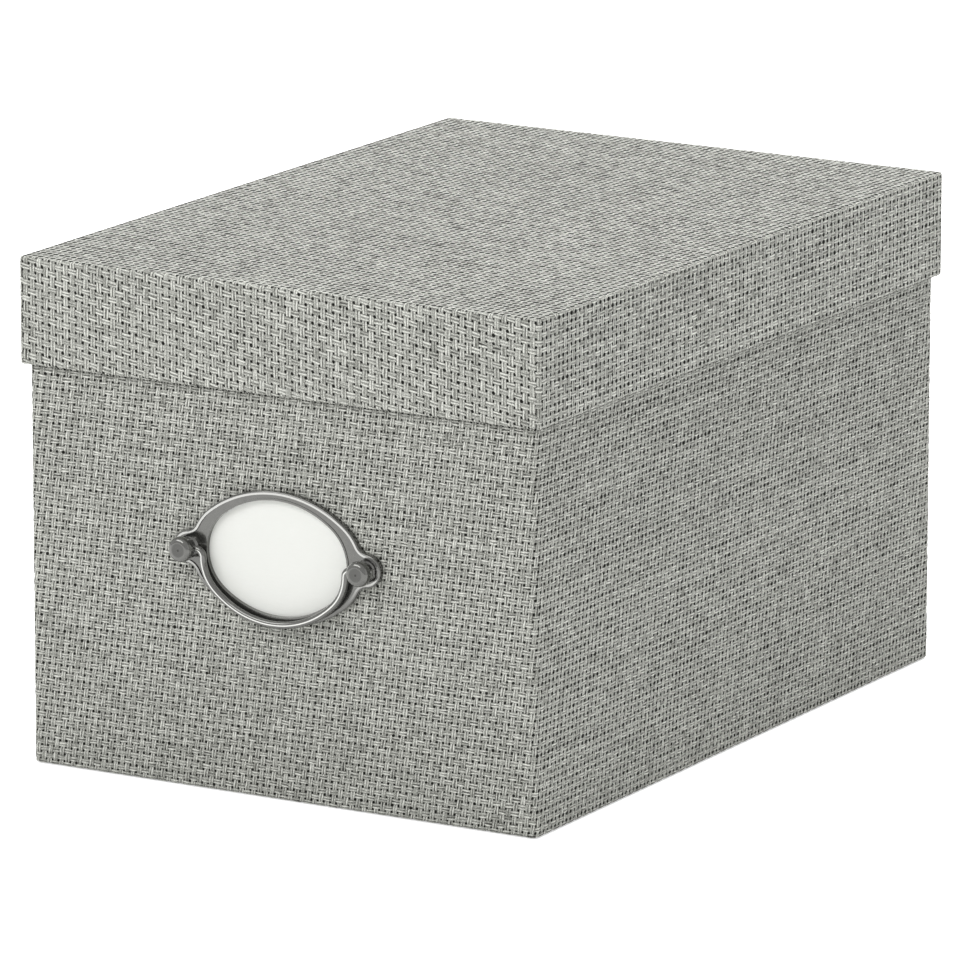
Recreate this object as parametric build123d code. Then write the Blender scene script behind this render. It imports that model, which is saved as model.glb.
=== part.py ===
from build123d import *
import math
import os

os.makedirs("parts", exist_ok=True)

# Storage box: a board tray with a lift-off lid, both covered in woven cloth, and a riveted label
# frame with a drop bail on the front. Millimetres. The origin is the middle of the underside,
# +Z is up and the label is on the -Y side.

# Closed box
lid_width = 177.0
lid_depth = 251.0
closed_height = 154.5
skirt_height = 32.5

# Sheets and boards
tray_board = 2.0
lid_board = 1.0
lid_top_thickness = 1.5
cloth = 0.4
tape = 0.1
wall_paper = 0.2
lid_paper = 0.15
underside_paper = 0.2
tape_leg = 14.0
tray_corner_radius = 1.2
lid_corner_radius = 0.8
fold_radius = 0.8

# Hems, turn-ins and clearances
tray_turn_in = 18.0
lid_turn_in = 15.0
hem_width = 15.0
lining_lap = 12.0
underside_inset = 4.0
lid_side_clearance = 0.2
lid_seat_gap = 0.2
floor_sheet_gap = 0.3

# How far a cut runs past what it cuts, and how far a crease stays short of the rounding it meets
past = 1.0
crease = 0.02

# Label frame
frame_height_on_wall = 73.5
frame_half_width = 29.3
frame_half_height = 20.2
frame_end_radius = 15.5
window_half_width = 23.9
window_half_height = 17.4
window_end_radius = 14.0
steel = 0.6
frame_rise = 2.0
rim_width = 1.1
recess_depth = 0.4
rim_round = 0.55
lip_rise = 0.2
ear_radius = 5.0
ear_blend = 4.0
card_thickness = 0.35
card_margin = 1.6
card_gap = 0.05

# Posts and washers
post_spacing = 60.6
shank_radius = 1.6
shank_clearance = 0.1
stem_radius = 2.9
stem_foot_radius = 3.4
stem_foot_height = 0.7
head_radius = 3.8
head_side = 1.0
head_crown = 1.7
head_face_radius = 2.1
head_dish = 0.12
head_over_upset = 0.15
washer_radius = 4.5
washer_thickness = 0.6
tail_radius = 2.6
tail_height = 0.8

# Bail
wire_radius = 1.1
wire_clearance = 0.05
wire_over_rim = 0.3
bail_half_width = 24.3
bail_drop = 19.4
bail_shoulder_radius = 1.9
bail_side_radius = 13.0
upset_radius = 1.45
upset_thickness = 0.45
upset_gap = 0.2

# Sizes that follow
overhang = cloth + tape + lid_board + cloth + lid_side_clearance
tray_width = lid_width - 2 * overhang
tray_depth = lid_depth - 2 * overhang
skirt_z = closed_height - skirt_height
lid_board_top_z = closed_height - cloth
lid_side_top_z = lid_board_top_z - lid_top_thickness
rim_z = lid_side_top_z - lid_paper - lid_seat_gap
wall_top_z = rim_z - cloth
hem_z = underside_paper
wall_bottom_z = hem_z + cloth
floor_z = wall_bottom_z + tray_board
front_y = -tray_depth / 2


def slab(width, depth, low_z, high_z):
    """Plain block centred on the Z axis."""
    return Pos(0, 0, (low_z + high_z) / 2) * Box(width, depth, high_z - low_z)


def rounded_slab(width, depth, low_z, high_z, radius):
    """Block with rounded upright edges."""
    outline = RectangleRounded(width, depth, radius)
    return Pos(0, 0, low_z) * extrude(outline, high_z - low_z)


def save(shape, node):
    export_step(shape, f"parts/{node}.step")


# Boards

def wall_boards(width, depth, thickness, low_z, high_z, radius):
    """Front and rear boards run the full width, and the side boards butt between them."""
    middle_z = (low_z + high_z) / 2
    height = high_z - low_z
    front = Pos(0, -(depth - thickness) / 2, middle_z) * Box(width, thickness, height)
    outer_edges = front.edges().filter_by(Axis.Z).sort_by(Axis.Y)[:2]
    front = fillet(outer_edges, radius)
    rear = mirror(front, Plane.XZ)
    side_depth = depth - 2 * thickness
    left = Pos(-(width - thickness) / 2, 0, middle_z) * Box(thickness, side_depth, height)
    right = mirror(left, Plane.YZ)
    return front, rear, left, right


def corner_strips(width, depth, low_z, high_z, radius):
    """Four strips bent round the outside of the boards' upright corners."""
    outer = rounded_slab(width + 2 * tape, depth + 2 * tape, low_z, high_z, radius + tape)
    inner = rounded_slab(width, depth, low_z - past, high_z + past, radius)
    ring = outer - inner
    across = slab(width - 2 * tape_leg, depth + 2 * (tape + past), low_z - past, high_z + past)
    along = slab(width + 2 * (tape + past), depth - 2 * tape_leg, low_z - past, high_z + past)
    return ring - across - along


tray_board_width = tray_width - 2 * (cloth + tape)
tray_board_depth = tray_depth - 2 * (cloth + tape)
lid_board_width = lid_width - 2 * (cloth + tape)
lid_board_depth = lid_depth - 2 * (cloth + tape)
tray_inner_width = tray_board_width - 2 * tray_board
tray_inner_depth = tray_board_depth - 2 * tray_board
lid_inner_width = lid_board_width - 2 * lid_board
lid_inner_depth = lid_board_depth - 2 * lid_board

# The post's axis runs through the wall, from the rivet's tail to its head.
wall_stack = cloth + tape + tray_board + wall_paper
band_out = frame_rise - recess_depth
pivot_out = frame_rise + wire_over_rim + wire_radius
head_under_out = pivot_out + upset_radius + head_over_upset


def at_front(out=0.0, x=0.0):
    """Frame on the front wall at the label's middle: its Z axis points out of the wall."""
    return Plane(origin=(x, front_y - out, frame_height_on_wall), x_dir=(1, 0, 0), z_dir=(0, -1, 0))


def pierce(shape, radius, far_in, far_out):
    """Cuts the two rivet holes through whatever stands between two depths of the front wall."""
    for side in (-1, 1):
        plane = at_front(-far_in, side * post_spacing / 2)
        shape = shape - plane * extrude(Circle(radius), far_in + far_out)
    return shape


hole_radius = shank_radius + shank_clearance
base_board = slab(tray_inner_width, tray_inner_depth, wall_bottom_z, floor_z)
front_board, rear_board, left_board, right_board = wall_boards(
    tray_board_width, tray_board_depth, tray_board, wall_bottom_z, wall_top_z, tray_corner_radius)
front_board = pierce(front_board, hole_radius, wall_stack + past, past)
corner_tapes = corner_strips(
    tray_board_width, tray_board_depth, wall_bottom_z, wall_top_z, tray_corner_radius)

lid_top_board = rounded_slab(
    lid_board_width, lid_board_depth, lid_side_top_z, lid_board_top_z, lid_corner_radius)
lid_top_board = fillet(lid_top_board.faces().sort_by(Axis.Z)[-1].edges(), lid_corner_radius)
lid_wall_bottom_z = skirt_z + cloth
lid_front_board, lid_rear_board, lid_left_board, lid_right_board = wall_boards(
    lid_board_width, lid_board_depth, lid_board, lid_wall_bottom_z, lid_side_top_z, lid_corner_radius)
lid_corner_tapes = corner_strips(
    lid_board_width, lid_board_depth, lid_wall_bottom_z, lid_side_top_z, lid_corner_radius)


# Woven covers

def make_body_wrap():
    """Tray cover: four sides, a turn-in over the rim and a hem under the base."""
    corner = tray_corner_radius + tape + cloth
    cover = rounded_slab(tray_width, tray_depth, hem_z, rim_z, corner)
    fold = min(fold_radius, cloth + tape + tray_board / 2)
    cover = fillet(cover.faces().sort_by(Axis.Z)[0].edges(), fold)
    cover = fillet(cover.faces().sort_by(Axis.Z)[-1].edges(), fold)
    board_space = rounded_slab(
        tray_width - 2 * cloth, tray_depth - 2 * cloth, wall_bottom_z, wall_top_z, corner - cloth)
    cover = cover - board_space
    mouth_width = tray_inner_width - 2 * cloth
    mouth_depth = tray_inner_depth - 2 * cloth
    turn_in_bottom_z = rim_z - tray_turn_in
    cover = cover + slab(tray_inner_width, tray_inner_depth, turn_in_bottom_z, wall_top_z)
    cover = cover - slab(mouth_width, mouth_depth, turn_in_bottom_z - past, rim_z + past)
    under_width = tray_width - 2 * hem_width
    under_depth = tray_depth - 2 * hem_width
    cover = cover - slab(under_width, under_depth, hem_z - past, wall_bottom_z + past)
    return pierce(cover, hole_radius, cloth + tape, past)


def make_lid_wrap():
    """Lid cover: top, four sides and a turn-in at the skirt's lower edge."""
    corner = lid_corner_radius + tape + cloth
    cover = rounded_slab(lid_width, lid_depth, skirt_z, closed_height, corner)
    cover = fillet(cover.faces().sort_by(Axis.Z)[-1].edges(), corner - crease)
    fold = min(fold_radius, cloth + tape + lid_board / 2)
    cover = fillet(cover.faces().sort_by(Axis.Z)[0].edges(), fold)
    board_space = rounded_slab(
        lid_width - 2 * cloth, lid_depth - 2 * cloth, lid_wall_bottom_z, lid_board_top_z, corner - cloth)
    board_space = fillet(board_space.faces().sort_by(Axis.Z)[-1].edges(), lid_corner_radius - crease)
    cover = cover - board_space
    turn_in_top_z = skirt_z + lid_turn_in
    cover = cover + slab(lid_inner_width, lid_inner_depth, lid_wall_bottom_z, turn_in_top_z)
    mouth_width = lid_inner_width - 2 * cloth
    mouth_depth = lid_inner_depth - 2 * cloth
    return cover - slab(mouth_width, mouth_depth, skirt_z - past, turn_in_top_z + past)


# Papers

def ring_slab(width, depth, outer_in, inner_in, low_z, high_z):
    """Four-sided ring whose faces stand two distances inside a width and depth."""
    outer = slab(width - 2 * outer_in, depth - 2 * outer_in, low_z, high_z)
    inner = slab(width - 2 * inner_in, depth - 2 * inner_in, low_z - past, high_z + past)
    return outer - inner


def make_body_lining():
    """Wall lining: flat on the boards, then stepped out over the cloth's turn-in."""
    step_z = rim_z - tray_turn_in
    width, depth = tray_inner_width, tray_inner_depth
    lower = ring_slab(width, depth, 0, wall_paper, floor_z, step_z)
    step = ring_slab(width, depth, 0, cloth + wall_paper, step_z - wall_paper, step_z)
    upper = ring_slab(width, depth, cloth, cloth + wall_paper, step_z, step_z + lining_lap)
    return pierce(lower + step + upper, hole_radius, wall_stack + past, 0)


def make_lid_lining():
    """Lid lining: the ceiling, and the sides down to the cloth's turn-in."""
    turn_in_top_z = skirt_z + lid_turn_in
    ceiling = slab(lid_inner_width, lid_inner_depth, lid_side_top_z - lid_paper, lid_side_top_z)
    sides = ring_slab(lid_inner_width, lid_inner_depth, 0, lid_paper, turn_in_top_z, lid_side_top_z)
    return ceiling + sides


body_wrap = make_body_wrap()
lid_wrap = make_lid_wrap()
body_lining = make_body_lining()
lid_lining = make_lid_lining()
floor_inset = wall_paper + floor_sheet_gap
floor_lining = slab(
    tray_inner_width - 2 * floor_inset, tray_inner_depth - 2 * floor_inset, floor_z, floor_z + wall_paper)
base_paper = slab(
    tray_width - 2 * underside_inset, tray_depth - 2 * underside_inset, 0, underside_paper)


# Label frame and card

def oval(half_width, half_height, end_radius):
    """Oval of four arcs: two end arcs that run smoothly into two flatter ones."""
    end_middle = half_width - end_radius
    side_radius = (end_middle ** 2 + half_height ** 2 - end_radius ** 2) / (2 * (half_height - end_radius))
    side_middle = side_radius - half_height
    reach = math.hypot(end_middle, side_middle)
    join_x = end_middle + end_radius * end_middle / reach
    join_y = end_radius * side_middle / reach
    top = ThreePointArc((join_x, join_y), (0, half_height), (-join_x, join_y))
    left = ThreePointArc((-join_x, join_y), (-half_width, 0), (-join_x, -join_y))
    bottom = ThreePointArc((-join_x, -join_y), (0, -half_height), (join_x, -join_y))
    right = ThreePointArc((join_x, -join_y), (half_width, 0), (join_x, join_y))
    return make_face([top, left, bottom, right])


def frame_outline(inset):
    """Oval plate with an ear at each end and blended corners between them, drawn in by an inset."""
    outline = oval(frame_half_width - inset, frame_half_height - inset, frame_end_radius - inset)
    for side in (-1, 1):
        outline = outline + Pos(side * post_spacing / 2, 0) * Circle(ear_radius - inset)
    corners = outline.vertices().filter_by(lambda v: abs(v.Y) < ear_radius)
    return fillet(corners, ear_blend + inset)


def window_outline(margin):
    """The window's oval, larger by a margin all round."""
    return oval(window_half_width + margin, window_half_height + margin, window_end_radius + margin)


def make_label_frame():
    """Pressed plate: turned-down edge, raised rim, recessed band and a turned-in window lip."""
    wall = at_front()
    plate = wall * extrude(frame_outline(0), frame_rise)
    front_face = plate.faces().sort_by(Axis.Y)[0]
    plate = fillet(front_face.edges(), rim_round)
    plate = plate - at_front(band_out) * extrude(frame_outline(rim_width), frame_rise)
    plate = plate - wall * extrude(frame_outline(steel), band_out - steel)
    lip_foot = card_thickness + card_gap
    lip_height = band_out + lip_rise - lip_foot
    plate = plate + at_front(lip_foot) * extrude(window_outline(steel), lip_height)
    plate = plate - wall * extrude(window_outline(0), 2 * frame_rise)
    return pierce(plate, hole_radius, 0, 2 * frame_rise)


label_frame = make_label_frame()
label_card = at_front() * extrude(window_outline(card_margin), card_thickness)


# Posts, washers and bail

def make_post(side):
    """Rivet post: clinched tail, shank, footed stem and crowned head, with a cross hole for the bail."""
    tail_in = wall_stack + washer_thickness
    tail_end = tail_in + tail_height
    head_top = head_under_out + head_side + head_crown
    foot_top = band_out + stem_foot_height
    profile = [
        Line((0, -tail_end), (shank_radius, -tail_end)),
        Line((shank_radius, -tail_end), (tail_radius, -tail_in)),
        Line((tail_radius, -tail_in), (shank_radius, -tail_in)),
        Line((shank_radius, -tail_in), (shank_radius, band_out)),
        Line((shank_radius, band_out), (stem_foot_radius, band_out)),
        Line((stem_foot_radius, band_out), (stem_radius, foot_top)),
        Line((stem_radius, foot_top), (stem_radius, head_under_out)),
        Line((stem_radius, head_under_out), (head_radius, head_under_out)),
        Line((head_radius, head_under_out), (head_radius, head_under_out + head_side)),
        TangentArc((head_radius, head_under_out + head_side), (head_face_radius, head_top), tangent=(0, 1)),
        Line((head_face_radius, head_top), (0, head_top - head_dish)),
        Line((0, head_top - head_dish), (0, -tail_end)),
    ]
    section = make_face(profile)
    solid = revolve(section, Axis.Y)
    axis_x = side * post_spacing / 2
    placed = Plane(origin=(axis_x, front_y, frame_height_on_wall), x_dir=(1, 0, 0), z_dir=(0, 0, 1))
    post = placed * (Rot(180, 0, 0) * solid)
    bore = Cylinder(wire_radius + wire_clearance, 4 * head_radius, rotation=(0, 90, 0))
    return post - Pos(axis_x, front_y - pivot_out, frame_height_on_wall) * bore


def make_bail():
    """Round wire: ends through the posts, short shoulders, then one smooth sag between them."""
    post_x = post_spacing / 2
    shoulder_x = bail_half_width + bail_shoulder_radius
    sag = bail_drop - bail_shoulder_radius
    side_middle = bail_half_width - bail_side_radius
    bottom_radius = (side_middle ** 2 + sag ** 2 - bail_side_radius ** 2) / (2 * (sag - bail_side_radius))
    rise = bottom_radius - sag
    reach = math.hypot(side_middle, rise)
    join_x = side_middle + bail_side_radius * side_middle / reach
    join_z = -bail_shoulder_radius - bail_side_radius * rise / reach
    end_x = post_x + stem_radius + upset_gap + upset_thickness / 2
    plane = at_front(pivot_out)
    shoulder_z = -bail_shoulder_radius
    path = [
        Line((-end_x, 0), (-shoulder_x, 0)),
        TangentArc((-shoulder_x, 0), (-bail_half_width, shoulder_z), tangent=(1, 0)),
        TangentArc((-bail_half_width, shoulder_z), (-join_x, join_z), tangent=(0, -1)),
        ThreePointArc((-join_x, join_z), (0, -bail_drop), (join_x, join_z)),
        TangentArc((bail_half_width, shoulder_z), (join_x, join_z), tangent=(0, -1)),
        TangentArc((shoulder_x, 0), (bail_half_width, shoulder_z), tangent=(-1, 0)),
        Line((shoulder_x, 0), (end_x, 0)),
    ]
    wire_path = plane * Wire(path)
    start = Plane(origin=wire_path @ 0, z_dir=wire_path % 0)
    wire = sweep(start * Circle(wire_radius), path=wire_path)
    for side in (-1, 1):
        upset_x = side * (post_x + stem_radius + upset_gap + upset_thickness / 2)
        upset = Cylinder(upset_radius, upset_thickness, rotation=(0, 90, 0))
        upset = chamfer(upset.edges(), upset_thickness / 4)
        wire = wire + Pos(upset_x, front_y - pivot_out, frame_height_on_wall) * upset
    return wire


def make_washers():
    """Two plain washers against the lining, under the clinched tails."""
    washers = []
    for side in (-1, 1):
        ring = Circle(washer_radius) - Circle(hole_radius)
        plane = at_front(-wall_stack - washer_thickness, side * post_spacing / 2)
        washers.append(plane * extrude(ring, washer_thickness))
    return Compound(washers)


left_post = make_post(-1)
right_post = make_post(1)
rivet_washers = make_washers()
bail_handle = make_bail()

nodes = {
    "base_board": base_board,
    "front_board": front_board,
    "rear_board": rear_board,
    "left_board": left_board,
    "right_board": right_board,
    "corner_tapes": corner_tapes,
    "body_wrap": body_wrap,
    "body_lining": body_lining,
    "floor_lining": floor_lining,
    "base_paper": base_paper,
    "lid_top_board": lid_top_board,
    "lid_front_board": lid_front_board,
    "lid_rear_board": lid_rear_board,
    "lid_left_board": lid_left_board,
    "lid_right_board": lid_right_board,
    "lid_corner_tapes": lid_corner_tapes,
    "lid_wrap": lid_wrap,
    "lid_lining": lid_lining,
    "label_frame": label_frame,
    "label_card": label_card,
    "left_post": left_post,
    "right_post": right_post,
    "rivet_washers": rivet_washers,
    "bail_handle": bail_handle,
}
for node, shape in nodes.items():
    save(shape, node)
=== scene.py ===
import math

import bmesh
import bpy
import numpy as np
from mathutils import Matrix, Vector


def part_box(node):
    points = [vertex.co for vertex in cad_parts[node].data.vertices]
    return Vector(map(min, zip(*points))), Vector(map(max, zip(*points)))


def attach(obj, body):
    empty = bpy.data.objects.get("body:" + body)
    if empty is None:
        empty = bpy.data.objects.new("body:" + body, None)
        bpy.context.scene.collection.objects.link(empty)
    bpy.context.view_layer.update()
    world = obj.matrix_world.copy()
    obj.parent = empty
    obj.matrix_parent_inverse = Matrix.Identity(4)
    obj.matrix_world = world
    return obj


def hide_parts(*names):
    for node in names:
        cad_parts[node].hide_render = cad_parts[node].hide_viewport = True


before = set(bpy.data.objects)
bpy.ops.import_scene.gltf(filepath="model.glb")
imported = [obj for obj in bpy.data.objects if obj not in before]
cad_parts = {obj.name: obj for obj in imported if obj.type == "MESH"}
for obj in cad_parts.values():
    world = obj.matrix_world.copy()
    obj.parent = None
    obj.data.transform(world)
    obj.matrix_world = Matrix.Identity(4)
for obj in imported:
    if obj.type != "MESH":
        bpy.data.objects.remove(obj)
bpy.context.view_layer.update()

# Storage box in woven cloth. Metres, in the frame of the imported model: the origin is the middle of
# the underside, +Z is up and the label is on the -Y side.

MM = 0.001

# The covered box and the folds of its cloth. A lap is how far a woven piece runs over an edge before
# the next piece takes over. The tray's hem and turn-in are woven as far as the papers leave them
# bare. The lid's turn-in is woven at its lower edge only, and its dark glued back shows above that.
tray_low, tray_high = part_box("body_wrap")
lid_low, lid_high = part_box("lid_wrap")
TRAY_WIDTH = tray_high.x - tray_low.x
TRAY_DEPTH = tray_high.y - tray_low.y
LID_WIDTH = lid_high.x - lid_low.x
LID_DEPTH = lid_high.y - lid_low.y
HEM_Z = tray_low.z
RIM_Z = tray_high.z
SKIRT_Z = lid_low.z
LID_TOP_Z = lid_high.z
TRAY_CORNER = 1.7 * MM
LID_CORNER = 1.3 * MM
TRAY_FOLD = 0.8 * MM
SKIRT_FOLD = 0.7 * MM
LID_TOP_FOLD = 0.75 * MM
TOP_LAP = 1.35 * MM
SKIRT_LAP = 1.35 * MM
RIM_LAP = 1.2 * MM
INNER_FOLD = 0.6 * MM
INNER_CORNER = 0.4 * MM
BACK_FOLD = 0.41 * MM
BACK_SLIT = 0.01 * MM
TRAY_WALL = 2.9 * MM
LID_WALL = 1.9 * MM
CLOTH = 0.4 * MM
HEM_WIDTH = 15.0 * MM
HEM_WOVEN = 5.1 * MM
TRAY_TURN_IN = 18.0 * MM
TRAY_TURN_IN_WOVEN = 7.0 * MM
LID_TURN_IN = 15.0 * MM
SKIRT_INNER_WOVEN = 4.5 * MM

# The weave: pairs of flat paper yarns, counted along each side of the box and up it. The tray's
# uprights lean and the lid's rows are skewed, by this share of their length.
TRAY_FRONT_COLUMNS = 82
TRAY_SIDE_COLUMNS = 111
TRAY_ROWS = 75
TRAY_INNER_ROWS = 4
TRAY_LEAN = 0.12
LID_FRONT_COLUMNS = 75
LID_SIDE_COLUMNS = 105
LID_TOP_ROWS = 103
SKIRT_FRONT_ROWS = 14
SKIRT_SIDE_ROWS = 15
SKIRT_INNER_ROWS = 2
LID_SKEW = 0.15
TRAY_SEED = 3
RIM_SEED = 5
LID_SEED = 11
LID_INSIDE_SEED = 13

# A yarn's width and how far apart the two of a pair lie, how far a strand goes down from its crest,
# how far under the yarns the glued back lies, and the spare length at both ends of a profile
TRAY_YARN = (1.02 * MM, 0.84 * MM)
LID_YARN = (1.16 * MM, 0.96 * MM)
RELIEF = 0.18 * MM
BACK_DEPTH = 0.36 * MM
LEAD = 3.0 * MM

# One strand: how far it reaches from its middle, in crossings, its half width at the foot and at the
# shoulder, how much narrower its ends are, and how far they dive
STRAND_REACH = 0.72
FOOT_HALF = 0.5
SHOULDER_HALF = 0.36
END_TAPER = 0.08
END_DIVE = 0.75

# How yarns vary: slubs and sways have a length, and spreads are shares of a yarn's width or height,
# or a turn. Upright yarns are numbered from 5000 on, so that none shares a level yarn's draws, and
# the cloth on the top is pressed flatter.
SLUB_LENGTH = 9.0 * MM
SWAY_LENGTH = 5.0 * MM
FIRST_UPRIGHT = 5000.0
PAIR_SPREAD = 0.12
YARN_SPREAD = 0.18
SLUB_SPREAD = 0.45
STRAND_SPREAD = 0.2
PAIR_SHIFT = 0.25
SWAY_SPREAD = 0.4
TILT_SPREAD = 0.18
TALL_SPREAD = 0.35
TOP_FLATTENED = 0.67

# Tones of the yarn: each pair, slub and strand has its own shade. Painted shade darkens strands
# where they dive and beside their ridge, so that the ridge reads as a painted highlight
YARN_DARK = (0.31, 0.315, 0.28)
YARN_PALE = (0.95, 0.96, 0.89)
YARN_SPECULAR = 0.45
PAIR_SHADE = 0.1
SLUB_SHADE = 0.15
STRAND_SHADE = 0.2
SUNK_SHADE = 0.06
RIDGE_WIDTH = 0.65
BESIDE_RIDGE_SHADE = 0.55
STREAK = 3.0
STREAKS_ACROSS = 1.4
STREAK_CHANGE = 90.0
FLECK = 3.2

# Painted shade round the holes where four crossings meet: the yarn goes near-black over a size in
# columns and rows, larger on the left and right sides and on the top, smaller on the folds, and
# drifting in size over some columns and rows
HOLE_SHADE_TONE = (0.012, 0.012, 0.01)
HOLE_SIZE = 0.225
HOLE_SIDE = 0.09
HOLE_TOP = 0.2
HOLE_FOLD = 0.6
HOLE_DEPTH = 0.03
HOLE_SPREAD = 0.12
HOLE_DRIFT = 0.22
HOLE_DRIFT_COLUMNS = 14.0
HOLE_DRIFT_ROWS = 0.9
HOLE_NARROWED = 1.3
HOLE_NARROWED_SPREAD = 1.2
HOLE_LEAST = 0.02
HOLE_CORE = 0.6
HOLE_SHADE_STRENGTH = 0.97

# The label frame, its posts and its bail. The front-most crests of the rim and the wire get a
# painted highlight to a small depth, and the posts' dished faces a painted dark reflection.
post_low, post_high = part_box("right_post")
bail_low, bail_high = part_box("bail_handle")
POST_X = (post_low.x + post_high.x) / 2
POST_Z = (post_low.z + post_high.z) / 2
WIRE_RADIUS = 1.1 * MM
RIM_CREST_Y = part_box("label_frame")[0].y
WIRE_CREST_Y = (bail_low.y + bail_high.y) / 2 - WIRE_RADIUS
RIM_HIGHLIGHT_DEPTH = 0.02 * MM
RIM_HIGHLIGHT = 0.45
RIM_FADES = 12.0 * MM
WIRE_HIGHLIGHT_DEPTH = 0.035 * MM
WIRE_HIGHLIGHT = 0.65
HIGHLIGHT_BLUE = 0.96
LACQUER_DARK = (0.072, 0.072, 0.066)
LACQUER_PALE = (0.13, 0.13, 0.12)
FACE_REFLECTION_TONE = (0.045, 0.045, 0.04)
FACE_RADIUS = 1.9 * MM
FACE_EDGE = 0.35 * MM

# Camera, fitted to the corners of the box in the photograph
CAMERA_AIM = Vector((0.0, 0.0, 75.0 * MM))
CAMERA_AZIMUTH = math.radians(30.061)
CAMERA_ELEVATION = math.radians(13.159)
CAMERA_DISTANCE = 2712.5 * MM
CAMERA_YAW = math.radians(30.136)
CAMERA_PITCH = math.radians(13.226)
CAMERA_ROLL = math.radians(0.030)
CAMERA_LENS = 335.04


# Node trees

class Wire:
    """A value on its way through a node tree. It takes ordinary arithmetic."""

    def __init__(self, tree, socket):
        self.tree = tree
        self.socket = socket

    def math(self, operation, *others):
        node = self.tree.nodes.new("ShaderNodeMath")
        node.operation = operation
        for place, value in enumerate((self, *others)):
            feed(self.tree, node.inputs[place], value)
        return Wire(self.tree, node.outputs[0])

    def __add__(self, other):
        return self.math("ADD", other)

    def __sub__(self, other):
        return self.math("SUBTRACT", other)

    def __mul__(self, other):
        return self.math("MULTIPLY", other)

    def __truediv__(self, other):
        return self.math("DIVIDE", other)

    def __mod__(self, other):
        return self.math("FLOORED_MODULO", other)

    def floor(self):
        return self.math("FLOOR")

    __radd__ = __add__
    __rmul__ = __mul__

    def __rsub__(self, other):
        return self * -1.0 + other


def feed(tree, socket, value):
    """Links a value into a socket, or sets it there if it is a plain one."""
    if isinstance(value, Wire):
        tree.links.new(value.socket, socket)
    elif isinstance(value, bpy.types.NodeSocket):
        tree.links.new(value, socket)
    else:
        socket.default_value = value


def add_node(tree, kind, inputs=(), **settings):
    """Adds a node, with its settings first and then its inputs, by name or by place."""
    node = tree.nodes.new(kind)
    for name, value in settings.items():
        setattr(node, name, value)
    for key, value in dict(inputs).items():
        if isinstance(key, int):
            socket = node.inputs[key]
        else:
            socket = next(s for s in node.inputs if s.name == key and s.enabled)
        feed(tree, socket, value)
    return node


def output(tree, node, name=0):
    """One output of a node, as a value for arithmetic."""
    return Wire(tree, node.outputs[name])


def vector(tree, x=0.0, y=0.0, z=0.0):
    return add_node(tree, "ShaderNodeCombineXYZ", {0: x, 1: y, 2: z}).outputs[0]


def parts_of(tree, socket):
    """The X, Y and Z of a vector."""
    node = add_node(tree, "ShaderNodeSeparateXYZ", {0: socket})
    return [Wire(tree, s) for s in node.outputs]


def chance(tree, x, y, z):
    """A random number from -0.5 to 0.5, always the same one for the same three values."""
    node = add_node(
        tree, "ShaderNodeTexWhiteNoise", {"Vector": vector(tree, x, y, z)}, noise_dimensions="3D")
    return output(tree, node, "Value") - 0.5


def drift(tree, x, y, z):
    """A number round 0 that changes smoothly with its three values."""
    node = add_node(
        tree, "ShaderNodeTexNoise",
        {"Vector": vector(tree, x, y, z), "Scale": 1.0, "Detail": 1.0}, noise_dimensions="3D")
    return output(tree, node) - 0.5


# Woven cover

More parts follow.
